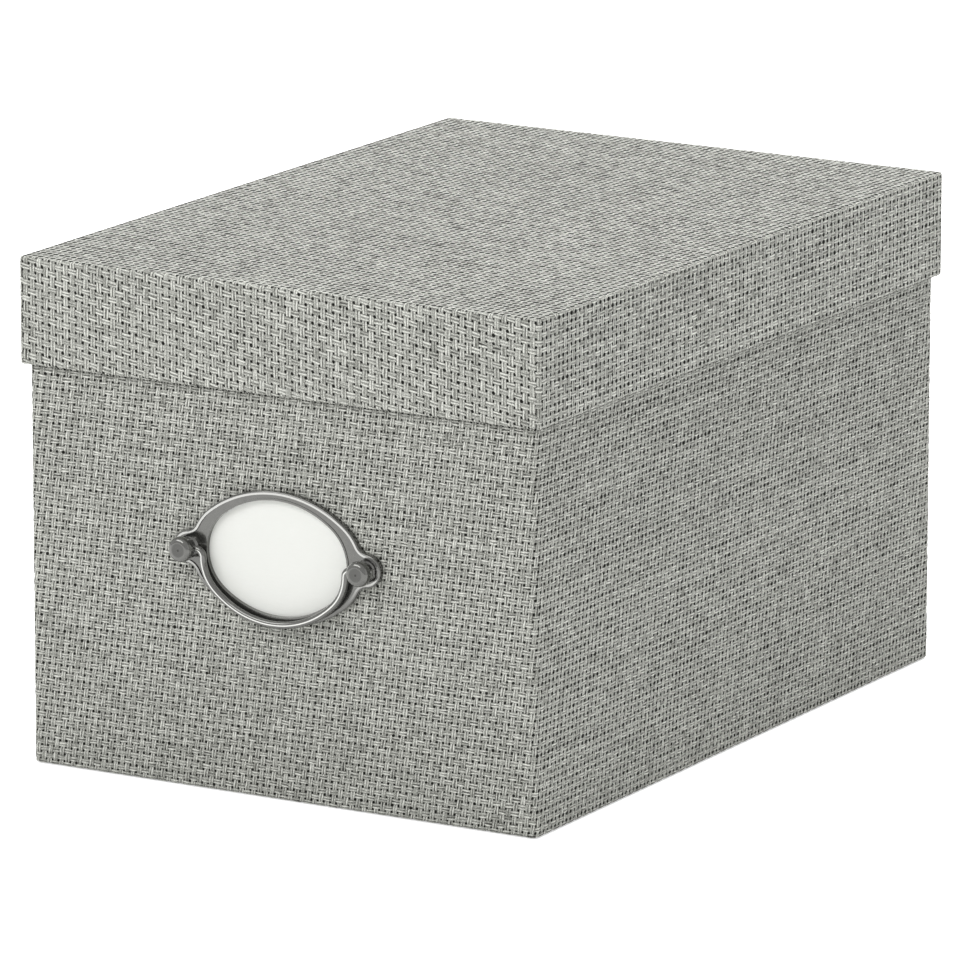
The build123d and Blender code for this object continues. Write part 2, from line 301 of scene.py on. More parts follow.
def build_weave_tree():
    """Cloth of paired yarns: strands on a grid of crossings, bent round a path and over a profile."""
    tree = bpy.data.node_groups.new("woven_cover", "GeometryNodeTree")
    sizes = {
        "Path": "NodeSocketObject",
        "Profile": "NodeSocketObject",
        "Strand": "NodeSocketObject",
        "First Column": "NodeSocketInt",
        "Columns Made": "NodeSocketInt",
        "Column Pitch": "NodeSocketFloat",
        "Path Start": "NodeSocketFloat",
        "First Row": "NodeSocketInt",
        "Rows Made": "NodeSocketInt",
        "Row Pitch": "NodeSocketFloat",
        "Profile Start": "NodeSocketFloat",
        "Lean": "NodeSocketFloat",
        "Skew": "NodeSocketFloat",
        "Yarn Width": "NodeSocketFloat",
        "Yarn Spacing": "NodeSocketFloat",
        "Relief": "NodeSocketFloat",
        "Seed": "NodeSocketInt",
        "Material": "NodeSocketMaterial",
    }
    for name, kind in sizes.items():
        tree.interface.new_socket(name=name, in_out="INPUT", socket_type=kind)
    tree.interface.new_socket(name="Geometry", in_out="OUTPUT", socket_type="NodeSocketGeometry")
    given = tree.nodes.new("NodeGroupInput").outputs
    size = {name: Wire(tree, given[name]) for name in sizes}

    def shape_of(name):
        node = add_node(tree, "GeometryNodeObjectInfo", {"Object": given[name]})
        return node.outputs["Geometry"]

    path = shape_of("Path")
    profile = shape_of("Profile")
    path_length = output(tree, add_node(tree, "GeometryNodeCurveLength", {"Curve": path}))
    column_pitch = size["Column Pitch"]
    row_pitch = size["Row Pitch"]
    skew = size["Skew"]

    # Two strands lie over each crossing: along the path on every other one, and up it on the rest.
    # Where the rows run askew they sink along the path, and a new one comes in from above.
    index = output(tree, add_node(tree, "GeometryNodeInputIndex"))
    twin = index % 2.0
    crossing = (index / 2.0).floor()
    from_start = crossing % size["Columns Made"]
    column = size["First Column"] + from_start
    middle_x = (from_start + 0.5) * column_pitch
    sunk_rows = (skew * middle_x / row_pitch).math("CEIL")
    row = size["First Row"] + (crossing / size["Columns Made"]).floor() + sunk_rows
    upright = (column + row) % 2.0
    level = 1.0 - upright
    yarn = upright * (column * 2.0 + twin + FIRST_UPRIGHT) + level * (row * 2.0 + twin)
    pair = (yarn / 2.0).floor()
    along = upright * row * row_pitch + level * column * column_pitch

    # Pairs differ, the yarns in them differ, and each yarn has slubs and sways along its length. The
    # last number of a draw and the odd factors only set the draws apart from each other.
    seed = size["Seed"]
    of_pair = chance(tree, pair, seed, 1.0)
    of_yarn = chance(tree, yarn, seed, 2.0)
    of_strand = chance(tree, column, row, yarn + seed)
    slub = drift(tree, yarn * 7.31, along / SLUB_LENGTH, seed * 3.7)
    sway = drift(tree, yarn * 5.17, along / SWAY_LENGTH, seed * 9.1 + 50.0)
    tilt = chance(tree, row, yarn, column + 0.5)
    thickness = (
        1.0 + of_pair * PAIR_SPREAD + of_yarn * YARN_SPREAD
        + slub * SLUB_SPREAD + of_strand * STRAND_SPREAD)
    width = size["Yarn Width"] * thickness
    shift = chance(tree, pair, seed, 4.0) * PAIR_SHIFT + sway * SWAY_SPREAD
    aside = (twin - 0.5) * size["Yarn Spacing"] + size["Yarn Width"] * shift
    flat_x = middle_x + upright * aside
    flat_y = (row + 0.5) * row_pitch - skew * middle_x + level * aside
    shade = 0.5 + of_pair * PAIR_SHADE + slub * SLUB_SHADE + of_strand * STRAND_SHADE
    reach = upright * row_pitch + level * column_pitch
    tallness = size["Relief"] * (1.0 + of_strand * TALL_SPREAD)

    count = size["Columns Made"] * size["Rows Made"] * 2.0
    points = add_node(
        tree, "GeometryNodePoints", {"Count": count, "Position": vector(tree, flat_x, flat_y)})
    shaded = add_node(
        tree, "GeometryNodeStoreNamedAttribute",
        {"Geometry": points.outputs[0], "Name": "shade", "Value": shade},
        data_type="FLOAT", domain="POINT")
    strands = add_node(tree, "GeometryNodeInstanceOnPoints", {
        "Points": shaded.outputs[0],
        "Instance": shape_of("Strand"),
        "Rotation": vector(
            tree, 0.0, 0.0, upright * (math.pi / 2) - level * skew + tilt * TILT_SPREAD),
        "Scale": vector(tree, reach, width, tallness),
    })
    flat = add_node(tree, "GeometryNodeRealizeInstances", {0: strands.outputs[0]})

    x, y, height = parts_of(tree, add_node(tree, "GeometryNodeInputPosition").outputs[0])

    # The path lies in X and Y. The profile's X is how far outside the path the cloth stands.
    on_path = add_node(
        tree, "GeometryNodeSampleCurve",
        {"Curves": path, "Length": (size["Path Start"] + x + size["Lean"] * y) % path_length},
        mode="LENGTH")
    on_profile = add_node(
        tree, "GeometryNodeSampleCurve",
        {"Curves": profile, "Length": size["Profile Start"] + y}, mode="LENGTH")
    path_x, path_y, _ = parts_of(tree, on_path.outputs["Position"])
    heading_x, heading_y, _ = parts_of(tree, on_path.outputs["Tangent"])
    profile_x, _, profile_z = parts_of(tree, on_profile.outputs["Position"])
    rise_x, _, rise_z = parts_of(tree, on_profile.outputs["Tangent"])
    level_run = rise_x * rise_x
    tall = height * (1.0 - level_run * TOP_FLATTENED)
    out = profile_x + rise_z * tall
    place = vector(
        tree, path_x + heading_y * out, path_y - heading_x * out, profile_z - rise_x * tall)

    # A strand's place on the flat cloth, in columns and rows, sets where painted shade falls near the
    # holes. It is also its place on the OFBake map, which has a margin for strands that reach out.
    hole = (
        HOLE_SIZE + heading_y * heading_y * HOLE_SIDE + level_run * HOLE_TOP
        - level_run * rise_z * rise_z * HOLE_FOLD)
    cell = vector(
        tree, size["First Column"] + x / column_pitch, (y + skew * x) / row_pitch, hole)
    map_x = (x / column_pitch + 1.0) / (size["Columns Made"] + 2.0)
    map_y = (y / row_pitch - size["First Row"] + 1.0) / (size["Rows Made"] + 3.0)
    sunk = add_node(
        tree, "GeometryNodeStoreNamedAttribute",
        {"Geometry": flat.outputs[0], "Name": "sunk", "Value": height * -1.0 / size["Relief"]},
        data_type="FLOAT", domain="POINT")
    placed = add_node(
        tree, "GeometryNodeStoreNamedAttribute",
        {"Geometry": sunk.outputs[0], "Name": "cell", "Value": cell},
        data_type="FLOAT_VECTOR", domain="POINT")
    mapped = add_node(
        tree, "GeometryNodeStoreNamedAttribute",
        {"Geometry": placed.outputs[0], "Name": "OFBake", "Value": vector(tree, map_x, map_y)},
        data_type="FLOAT2", domain="CORNER")

    bent = add_node(
        tree, "GeometryNodeSetPosition", {"Geometry": mapped.outputs[0], "Position": place})
    smooth = add_node(tree, "GeometryNodeSetShadeSmooth", {"Geometry": bent.outputs[0]})
    finished = add_node(
        tree, "GeometryNodeSetMaterial",
        {"Geometry": smooth.outputs[0], "Material": given["Material"]})
    result = tree.nodes.new("NodeGroupOutput")
    tree.links.new(finished.outputs[0], result.inputs["Geometry"])
    return tree


def link(thing):
    """Puts an object into the scene."""
    bpy.context.scene.collection.objects.link(thing)
    return thing


def mesh_object(name, points, faces):
    """Object from points and from faces that name them by number."""
    mesh = bpy.data.meshes.new(name)
    mesh.from_pydata([tuple(p) for p in points], [], faces)
    mesh.update()
    return link(bpy.data.objects.new(name, mesh))


def make_strand(name, rings):
    """One strand over one crossing: it rises, runs level and dives under the next. Unit sized."""
    points = []
    side_shares = []
    for ring in range(rings):
        from_middle = 2.0 * ring / (rings - 1) - 1.0
        x = from_middle * STRAND_REACH
        foot = FOOT_HALF - END_TAPER * from_middle ** 2
        shoulder = SHOULDER_HALF - END_TAPER * from_middle ** 2
        crest = -END_DIVE * from_middle ** 2
        points += [(x, -foot, -1.0), (x, -shoulder, crest), (x, shoulder, crest), (x, foot, -1.0)]
        side_shares += [-1.0, -shoulder / foot, shoulder / foot, 1.0]
    faces = [(0, 1, 2, 3)]
    for ring in range(rings - 1):
        for side in range(4):
            here = ring * 4 + side
            beside = ring * 4 + (side + 1) % 4
            faces.append((here, here + 4, beside + 4, beside))
    last = 4 * (rings - 1)
    faces.append((last + 3, last + 2, last + 1, last))
    strand = mesh_object(name, points, faces)
    across = strand.data.attributes.new("across", "FLOAT", "POINT")
    across.data.foreach_set("value", side_shares)
    return strand


def rounded_line(corners, closed=False, steps=8):
    """Points along straight runs joined by round corners. Each corner is (x, y, radius)."""
    points = []
    count = len(corners)
    beside_arc = 0.1 * MM
    for place, (x, y, radius) in enumerate(corners):
        corner = np.array((x, y))
        if radius == 0:
            points.append(corner)
            continue
        before = corner - np.array(corners[place - 1][:2])
        after = np.array(corners[(place + 1) % count][:2]) - corner
        before = before / np.linalg.norm(before)
        after = after / np.linalg.norm(after)
        turn = math.acos(float(before @ after))
        inward = (after - before * math.cos(turn)) / math.sin(turn)
        start = corner - before * radius * math.tan(turn / 2)
        points.append(start - before * beside_arc)
        for step in range(steps + 1):
            angle = turn * step / steps
            points.append(
                start + before * radius * math.sin(angle) + inward * radius * (1 - math.cos(angle)))
        points.append(points[-1] + after * beside_arc)
    if closed:
        points = points[-2:] + points[:-2]
    return points


def curve_object(name, points, closed=False):
    """Line of straight steps through points (x, y, z)."""
    curve = bpy.data.curves.new(name, "CURVE")
    curve.dimensions = "3D"
    spline = curve.splines.new("POLY")
    spline.points.add(len(points) - 1)
    for point, place in zip(spline.points, points):
        point.co = (*place, 1.0)
    spline.use_cyclic_u = closed
    return link(bpy.data.objects.new(name, curve))


def round_the_box(name, width, depth, corner):
    """Path round a box, seen from above: from the front's left end to the right and round."""
    x = width / 2
    y = depth / 2
    corners = [(x, -y, corner), (x, y, corner), (-x, y, corner), (-x, -y, corner)]
    points = rounded_line(corners, closed=True)
    return curve_object(name, [(px, py, 0.0) for px, py in points], closed=True)


def up_the_side(name, corners):
    """Profile of the cloth: how far out it stands, and its height."""
    return curve_object(name, [(out, 0.0, z) for out, z in rounded_line(corners)])


weave_tree = build_weave_tree()
plain_strand = make_strand("plain_strand", 3)
supple_strand = make_strand("supple_strand", 5)


def length_of(curve):
    """Length of an open curve object."""
    places = [point.co.xyz for point in curve.data.splines[0].points]
    return sum((after - before).length for before, after in zip(places, places[1:]))


def weave(name, path, profile, yarn, seed, columns, column_pitch, rows, row_pitch,
          path_start=0.0, profile_start=LEAD, lean=0.0, skew=0.0, strand=plain_strand):
    """Makes one piece of woven cover as a plain mesh. Columns and rows are (first, count)."""
    settings = {
        "Path": path,
        "Profile": profile,
        "Strand": strand,
        "First Column": columns[0],
        "Columns Made": columns[1],
        "Column Pitch": column_pitch,
        "Path Start": path_start,
        "First Row": rows[0],
        "Rows Made": rows[1],
        "Row Pitch": row_pitch,
        "Profile Start": profile_start,
        "Lean": lean,
        "Skew": skew,
        "Yarn Width": yarn[0],
        "Yarn Spacing": yarn[1],
        "Relief": RELIEF,
        "Seed": seed,
        "Material": yarn_material,
    }
    maker = mesh_object(name + "_maker", [], [])
    modifier = maker.modifiers.new("weave", "NODES")
    modifier.node_group = weave_tree
    for item in weave_tree.interface.items_tree:
        if item.in_out == "INPUT":
            modifier[item.identifier] = settings[item.name]
    shown = maker.evaluated_get(bpy.context.evaluated_depsgraph_get())
    mesh = bpy.data.meshes.new_from_object(shown)
    mesh.name = name
    bpy.data.objects.remove(maker)
    return link(bpy.data.objects.new(name, mesh))


# Materials

def new_material(name):
    """Material with its node tree and its shader."""
    material = bpy.data.materials.new(name)
    material.use_nodes = True
    tree = material.node_tree
    return material, tree, tree.nodes["Principled BSDF"]


def own_place(tree):
    """The point's place in the piece's own coordinates."""
    return add_node(tree, "ShaderNodeTexCoord").outputs["Object"]


def grain(tree, size, detail=2.0, stretch=(1.0, 1.0, 1.0)):
    """Noise from 0 to 1 with grains of about this size, longer where the stretch is larger."""
    mapping = add_node(tree, "ShaderNodeMapping", {"Vector": own_place(tree)})
    mapping.inputs["Scale"].default_value = tuple(1.0 / (size * s) for s in stretch)
    node = add_node(
        tree, "ShaderNodeTexNoise",
        {"Vector": mapping.outputs[0], "Scale": 1.0, "Detail": detail}, noise_dimensions="3D")
    return output(tree, node)


def colour_between(tree, low, high, share):
    """The low colour where the share is 0, and the high one where it is 1."""
    node = add_node(
        tree, "ShaderNodeMix", {0: share, 6: (*low, 1.0), 7: (*high, 1.0)}, data_type="RGBA")
    return node.outputs[2]


def smooth_step(tree, value, low, high):
    """0 up to the low end and 1 from the high end on, with a soft change between."""
    node = add_node(
        tree, "ShaderNodeMapRange", {"Value": value, "From Min": low, "From Max": high},
        interpolation_type="SMOOTHSTEP")
    return output(tree, node)


def bump(tree, shader, height, depth):
    """Fine relief of a surface, from a height of 0 to 1 and its depth in metres."""
    node = add_node(
        tree, "ShaderNodeBump", {"Strength": 1.0, "Distance": depth, "Height": height})
    feed(tree, shader.inputs["Normal"], node.outputs[0])


def painted_hole_shade(tree, sunk):
    """How much painted shade a point of the cloth gets: most at the holes where four crossings meet.
    """
    cell = add_node(tree, "ShaderNodeAttribute", attribute_name="cell").outputs["Vector"]
    column, row, hole = parts_of(tree, cell)
    corner_x = (column + 0.5).floor()
    corner_y = (row + 0.5).floor()
    away_x = column - corner_x
    away_y = row - corner_y
    narrowed = chance(tree, corner_x, corner_y, 5.0) * HOLE_NARROWED_SPREAD + HOLE_NARROWED
    away = (away_x * away_x * narrowed + away_y * away_y).math("SQRT")
    size = (
        hole + sunk * HOLE_DEPTH + chance(tree, corner_x, corner_y, 3.0) * HOLE_SPREAD
        + drift(tree, corner_x / HOLE_DRIFT_COLUMNS, corner_y / HOLE_DRIFT_ROWS, 7.0) * HOLE_DRIFT)
    from_centre = away / size.math("MAXIMUM", HOLE_LEAST)
    return smooth_step(tree, from_centre, 1.0, HOLE_CORE) * HOLE_SHADE_STRENGTH


def paper_yarn():
    """Flat twisted paper yarn: pale and warm grey, with each strand a little lighter or darker."""
    material, tree, shader = new_material("paper_yarn")
    shade = output(tree, add_node(tree, "ShaderNodeAttribute", attribute_name="shade"), "Fac")
    sunk = output(tree, add_node(tree, "ShaderNodeAttribute", attribute_name="sunk"), "Fac")
    across = output(tree, add_node(tree, "ShaderNodeAttribute", attribute_name="across"), "Fac")
    fleck = grain(tree, 0.3 * MM)
    streak = drift(tree, across * STREAKS_ACROSS, shade * STREAK_CHANGE, 0.0)
    share = shade + (fleck - 0.5) * FLECK + streak * STREAK
    tone = colour_between(tree, YARN_DARK, YARN_PALE, share)
    # Painted shade where a strand dives and on its flanks, leaving a painted highlight along its ridge
    beside_ridge_shade = (across.math("ABSOLUTE") / RIDGE_WIDTH).math("MINIMUM", 1.0)
    shaded = sunk * SUNK_SHADE + beside_ridge_shade * BESIDE_RIDGE_SHADE
    # Near-black painted shade round the holes
    shaded = shaded.math("MAXIMUM", painted_hole_shade(tree, sunk))
    colour = add_node(
        tree, "ShaderNodeMix", {0: shaded, 6: tone, 7: (*HOLE_SHADE_TONE, 1.0)}, data_type="RGBA")
    feed(tree, shader.inputs["Base Color"], colour.outputs[2])
    feed(tree, shader.inputs["Roughness"], fleck * 0.2 + 0.5)
    feed(tree, shader.inputs["Specular IOR Level"], (1.0 - shaded) * YARN_SPECULAR)
    bump(tree, shader, grain(tree, 0.35 * MM), 0.15 * MM)
    return material


def cloth_backing():
    """Dark glued back of the cloth, seen through the weave's holes and bare inside the lid's skirt."""
    material, tree, shader = new_material("cloth_backing")
    colour = colour_between(tree, (0.02, 0.02, 0.018), (0.05, 0.05, 0.045), grain(tree, 1.0 * MM))
    feed(tree, shader.inputs["Base Color"], colour)
    shader.inputs["Roughness"].default_value = 0.9
    shader.inputs["Specular IOR Level"].default_value = 0.05
    bump(tree, shader, grain(tree, 0.3 * MM), 0.03 * MM)
    return material


def plain_paper(name, low, high, fibre):
    """Uncoated paper or board with soft fibres and a faint cloudiness."""
    material, tree, shader = new_material(name)
    clouds = grain(tree, 12.0 * MM)
    fibres = grain(tree, fibre, 4.0, (4.0, 1.0, 1.0))
    colour = colour_between(tree, low, high, clouds * 0.4 + fibres * 0.6)
    feed(tree, shader.inputs["Base Color"], colour)
    feed(tree, shader.inputs["Roughness"], fibres * 0.15 + 0.72)
    bump(tree, shader, fibres, 0.03 * MM)
    return material


def coated_metal(name, crest=None, depth=None, highlight=None, fades=None):
    """Pewter-grey lacquer over steel, faintly mottled: with a painted highlight along a crest, or a
    painted dark reflection in the dished face of a post.

    The crest is the front-most Y of a wire or a rim. The painted highlight reaches a small depth from
    it, in a bare grey of the given brightness. Below the middle of the frame it may fade.
    """
    material, tree, shader = new_material(name)
    mottle = grain(tree, 1.6 * MM, 4.0)
    wear = grain(tree, 5.0 * MM, 3.0)
    lacquer = colour_between(tree, LACQUER_DARK, LACQUER_PALE, mottle * 0.6 + wear * 0.4)
    x, y, z = parts_of(tree, own_place(tree))
    if crest is None:
        # Painted dark reflection in the dished face of a post
        across = x.math("ABSOLUTE") - POST_X
        up = z - POST_Z
        from_middle = (across * across + up * up).math("SQRT")
        changed = smooth_step(tree, from_middle, FACE_RADIUS + FACE_EDGE, FACE_RADIUS)
        tone = (*FACE_REFLECTION_TONE, 1.0)
    else:
        # Painted highlight along the front-most crest
        changed = smooth_step(tree, y, crest + depth, crest)
        if fades:
            changed = changed * smooth_step(tree, z, POST_Z - fades, POST_Z)
        tone = (highlight, highlight, highlight * HIGHLIGHT_BLUE, 1.0)
    colour = add_node(tree, "ShaderNodeMix", {0: changed, 6: lacquer, 7: tone}, data_type="RGBA")
    feed(tree, shader.inputs["Base Color"], colour.outputs[2])
    shader.inputs["Metallic"].default_value = 0.7
    feed(tree, shader.inputs["Roughness"], mottle * 0.1 + 0.12)
    shader.inputs["Coat Weight"].default_value = 1.0
    shader.inputs["Coat Roughness"].default_value = 0.05
    bump(tree, shader, grain(tree, 0.25 * MM, 3.0), 0.005 * MM)
    return material


def turned_steel():
    """Bright plated steel of the washers, with a fine mottle of marks."""
    material, tree, shader = new_material("bare_steel")
    marks = grain(tree, 0.2 * MM, 3.0)
    colour = colour_between(tree, (0.5, 0.5, 0.49), (0.62, 0.62, 0.61), marks)
    feed(tree, shader.inputs["Base Color"], colour)
    shader.inputs["Metallic"].default_value = 1.0
    feed(tree, shader.inputs["Roughness"], marks * 0.2 + 0.25)
    bump(tree, shader, marks, 0.01 * MM)
    return material


yarn_material = paper_yarn()
backing_material = cloth_backing()
lining_material = plain_paper("lining_paper", (0.50, 0.50, 0.47), (0.60, 0.60, 0.57), 0.6 * MM)
board_material = plain_paper("greyboard", (0.33, 0.31, 0.28), (0.48, 0.46, 0.42), 0.9 * MM)
tape_material = plain_paper("tape_paper", (0.50, 0.38, 0.25), (0.66, 0.53, 0.37), 0.8 * MM)
card_material = plain_paper("card_stock", (0.84, 0.85, 0.81), (0.88, 0.89, 0.85), 0.5 * MM)
frame_material = coated_metal("frame_steel", RIM_CREST_Y, RIM_HIGHLIGHT_DEPTH, RIM_HIGHLIGHT, RIM_FADES)
bail_material = coated_metal("bail_steel", WIRE_CREST_Y, WIRE_HIGHLIGHT_DEPTH, WIRE_HIGHLIGHT)
post_material = coated_metal("post_steel")
washer_material = turned_steel()


# Cloth on the tray and the lid

tray_path = round_the_box("tray_path", TRAY_WIDTH, TRAY_DEPTH, TRAY_CORNER)
lid_path = round_the_box("lid_path", LID_WIDTH, LID_DEPTH, LID_CORNER)
tray_inner_path = round_the_box(
    "tray_inner_path", TRAY_WIDTH - 2 * TRAY_WALL, TRAY_DEPTH - 2 * TRAY_WALL, INNER_CORNER)
lid_inner_path = round_the_box(
    "lid_inner_path", LID_WIDTH - 2 * LID_WALL, LID_DEPTH - 2 * LID_WALL, INNER_CORNER)

tray_profile = up_the_side("tray_profile", [
    (-HEM_WOVEN - LEAD, HEM_Z, 0),
    (0.0, HEM_Z, TRAY_FOLD),
    (0.0, RIM_Z, TRAY_FOLD),
    (-RIM_LAP - LEAD, RIM_Z, 0),
])
tray_inner_profile = up_the_side("tray_inner_profile", [
    (TRAY_WALL - RIM_LAP + LEAD, RIM_Z, 0),
    (0.0, RIM_Z, INNER_FOLD),
    (0.0, RIM_Z - TRAY_TURN_IN_WOVEN - LEAD, 0),
])
skirt_profile = up_the_side("skirt_profile", [
    (-LID_WALL, SKIRT_Z + SKIRT_LAP + LEAD - LID_WALL, 0),
    (-LID_WALL, SKIRT_Z, SKIRT_FOLD),
    (0.0, SKIRT_Z, SKIRT_FOLD),
    (0.0, LID_TOP_Z, LID_TOP_FOLD),
    (-TOP_LAP - LEAD, LID_TOP_Z, 0),
])
skirt_inner_profile = up_the_side("skirt_inner_profile", [
    (0.0, SKIRT_Z + SKIRT_INNER_WOVEN + LEAD, 0),
    (0.0, SKIRT_Z, SKIRT_FOLD),
    (LID_WALL - SKIRT_LAP + LEAD, SKIRT_Z, 0),
])
half_top = LID_WIDTH / 2 - TOP_LAP
deep_top = LID_DEPTH / 2 - TOP_LAP
top_path = curve_object("top_path", [(-half_top - LEAD, 0.0, 0.0), (half_top + LEAD, 0.0, 0.0)])
top_profile = up_the_side("top_profile", [
    (deep_top + LEAD, LID_TOP_Z, 0),
    (-LID_DEPTH / 2, LID_TOP_Z, LID_TOP_FOLD),
    (-LID_DEPTH / 2, LID_TOP_Z - LEAD, 0),
])

tray_front = TRAY_WIDTH - 2 * TRAY_CORNER + math.pi / 2 * TRAY_CORNER
tray_side = TRAY_DEPTH - 2 * TRAY_CORNER + math.pi / 2 * TRAY_CORNER
tray_row = (length_of(tray_profile) - 2 * LEAD) / TRAY_ROWS
half_rows = TRAY_ROWS // 2
half_side = TRAY_SIDE_COLUMNS // 2
low_half = (0, half_rows)
high_half = (half_rows, TRAY_ROWS - half_rows)
all_rows = (0, TRAY_ROWS)
near_half = (0, half_side)
far_half = (half_side, TRAY_SIDE_COLUMNS - half_side)
all_columns = (0, TRAY_FRONT_COLUMNS)
tray_pieces = []
first = 0
start = 0.0
for side, length, count, parts in (
        ("front", tray_front, TRAY_FRONT_COLUMNS,
         {"lower": (all_columns, low_half), "upper": (all_columns, high_half)}),
        ("right", tray_side, TRAY_SIDE_COLUMNS,
         {"near": (near_half, all_rows), "far": (far_half, all_rows)}),
        ("rear", tray_front, TRAY_FRONT_COLUMNS,
         {"lower": (all_columns, low_half), "upper": (all_columns, high_half)}),
        ("left", tray_side, TRAY_SIDE_COLUMNS,
         {"far": (near_half, all_rows), "near": (far_half, all_rows)})):
    pitch = length / count
    for part, ((skipped, made), rows) in parts.items():
        tray_pieces.append(weave(
            f"tray_cloth_{side}_{part}", tray_path, tray_profile, TRAY_YARN, TRAY_SEED,
            (first + skipped, made), pitch, rows, tray_row,
            path_start=start + skipped * pitch, lean=TRAY_LEAN))
    first += count
    start += length

inner_row = (length_of(tray_inner_profile) - 2 * LEAD) / TRAY_INNER_ROWS
inner_round = 2 * (TRAY_WIDTH + TRAY_DEPTH - 4 * TRAY_WALL)
tray_pieces.append(weave(
    "tray_cloth_rim", tray_inner_path, tray_inner_profile, TRAY_YARN, RIM_SEED,
    (0, first), inner_round / first, (0, TRAY_INNER_ROWS), inner_row))
for piece in tray_pieces:
    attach(piece, "tray")

lid_front = LID_WIDTH - 2 * LID_CORNER
lid_side = LID_DEPTH - 2 * LID_CORNER + math.pi * LID_CORNER
skirt_length = length_of(skirt_profile) - 2 * LEAD
top_row = 2 * deep_top / LID_TOP_ROWS
side_row = skirt_length / SKIRT_SIDE_ROWS
lid_pieces = []
first = 0
start = 0.0
for side, length, count, rows, row_pitch, skew in (
        ("front", lid_front, LID_FRONT_COLUMNS, SKIRT_FRONT_ROWS, top_row, LID_SKEW),
        ("right", lid_side, LID_SIDE_COLUMNS, SKIRT_SIDE_ROWS, side_row, 0.0),
        ("rear", lid_front, LID_FRONT_COLUMNS, SKIRT_FRONT_ROWS, top_row, LID_SKEW),
        ("left", lid_side, LID_SIDE_COLUMNS, SKIRT_SIDE_ROWS, side_row, 0.0)):
    lid_pieces.append(weave(
        f"lid_cloth_{side}", lid_path, skirt_profile, LID_YARN, LID_SEED,
        (first, count), length / count, (-1, rows + 1), row_pitch,
        path_start=start, profile_start=LEAD + skirt_length - rows * row_pitch, skew=skew,
        strand=supple_strand))
    first += count
    start += length
half_rows = LID_TOP_ROWS // 2
for part, skipped, made in (("front", 0, half_rows), ("rear", half_rows, LID_TOP_ROWS - half_rows)):
    lid_pieces.append(weave(
        f"lid_cloth_top_{part}", top_path, top_profile, LID_YARN, LID_SEED,
        (0, LID_FRONT_COLUMNS), 2 * half_top / LID_FRONT_COLUMNS,
        (SKIRT_FRONT_ROWS + skipped, made), top_row,
        path_start=LEAD, profile_start=LEAD - SKIRT_FRONT_ROWS * top_row, skew=LID_SKEW))
inner_row = (length_of(skirt_inner_profile) - 2 * LEAD) / SKIRT_INNER_ROWS
inner_round = 2 * (LID_WIDTH + LID_DEPTH - 4 * LID_WALL)
lid_pieces.append(weave(
    "lid_cloth_inside", lid_inner_path, skirt_inner_profile, LID_YARN, LID_INSIDE_SEED,
    (0, first), inner_round / first, (0, SKIRT_INNER_ROWS), inner_row))
for piece in lid_pieces:
    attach(piece, "lid")


# Glued back of the cloth

def set_in(profile, depth):
    """The profile (out, z) moved into the cloth, square to its own run."""
    points = np.array(profile)
    runs = np.gradient(points, axis=0)
    runs = runs / np.linalg.norm(runs, axis=1)[:, None]
    return points - depth * np.column_stack((runs[:, 1], -runs[:, 0]))


def swept_sheet(name, width, depth, corner, profile):
    """Closed thin sheet under the yarns: its section is carried round the box."""
    section = np.vstack((set_in(profile, BACK_DEPTH), set_in(profile, CLOTH)[::-1]))
    arc_steps = 6
    least = 0.02 * MM
    points = []
    for quarter in range(4):
        mid = math.pi / 2 * (quarter - 0.5)
        sign_x = math.copysign(1.0, math.cos(mid))
        sign_y = math.copysign(1.0, math.sin(mid))
        for step in range(arc_steps + 1):
            angle = math.pi / 2 * (quarter - 1 + step / arc_steps)
            way_x = math.cos(angle)
            way_y = math.sin(angle)
            for out, z in section:
                radius = max(corner + out, least)
                middle_x = sign_x * (width / 2 + out - radius)
                middle_y = sign_y * (depth / 2 + out - radius)
                points.append((middle_x + radius * way_x, middle_y + radius * way_y, z))
    count = len(section)
    stations = len(points) // count
    faces = []
    for station in range(stations):
        following = (station + 1) % stations
        for place in range(count):
            beside = (place + 1) % count
            faces.append((
                station * count + place, following * count + place,
                following * count + beside, station * count + beside))
    return mesh_object(name, points, faces)


tray_sheet = swept_sheet("tray_cloth_back", TRAY_WIDTH, TRAY_DEPTH, TRAY_CORNER, rounded_line([
    (-HEM_WIDTH, HEM_Z, 0),
    (0.0, HEM_Z, BACK_FOLD),
    (0.0, RIM_Z, BACK_FOLD),
    (-TRAY_WALL, RIM_Z, BACK_FOLD),
    (-TRAY_WALL, RIM_Z - TRAY_TURN_IN, 0),
]))
lid_sheet = swept_sheet("lid_cloth_back", LID_WIDTH, LID_DEPTH, LID_CORNER, rounded_line([
    (-LID_WALL, SKIRT_Z + LID_TURN_IN, 0),
    (-LID_WALL, SKIRT_Z, BACK_FOLD),
    (0.0, SKIRT_Z, BACK_FOLD),
    (0.0, LID_TOP_Z, BACK_FOLD),
    (-LID_WIDTH / 2 + BACK_SLIT, LID_TOP_Z, 0),
]))
for sheet, body, node in ((tray_sheet, "tray", "body_wrap"), (lid_sheet, "lid", "lid_wrap")):
    sheet.data.materials.append(backing_material)
    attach(sheet, body)
    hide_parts(node)


# Metal fittings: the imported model's own meshes, merged so that their round parts shade smoothly

def smoothed_copy(node, body, material):
    """Stands for a node with a merged copy of its mesh."""
    same_point = 0.001 * MM
    sharp = math.radians(35)
    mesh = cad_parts[node].data.copy()
    mesh.name = node + "_smooth"
    working = bmesh.new()
    working.from_mesh(mesh)
    bmesh.ops.remove_doubles(working, verts=working.verts, dist=same_point)
    bmesh.ops.recalc_face_normals(working, faces=working.faces)
    for edge in working.edges:
        edge.smooth = edge.calc_face_angle(0.0) < sharp
    for face in working.faces:
        face.smooth = True
    working.to_mesh(mesh)
    working.free()
    mesh.materials.clear()
    mesh.materials.append(material)
    piece = link(bpy.data.objects.new(node + "_smooth", mesh))
    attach(piece, body)
    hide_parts(node)


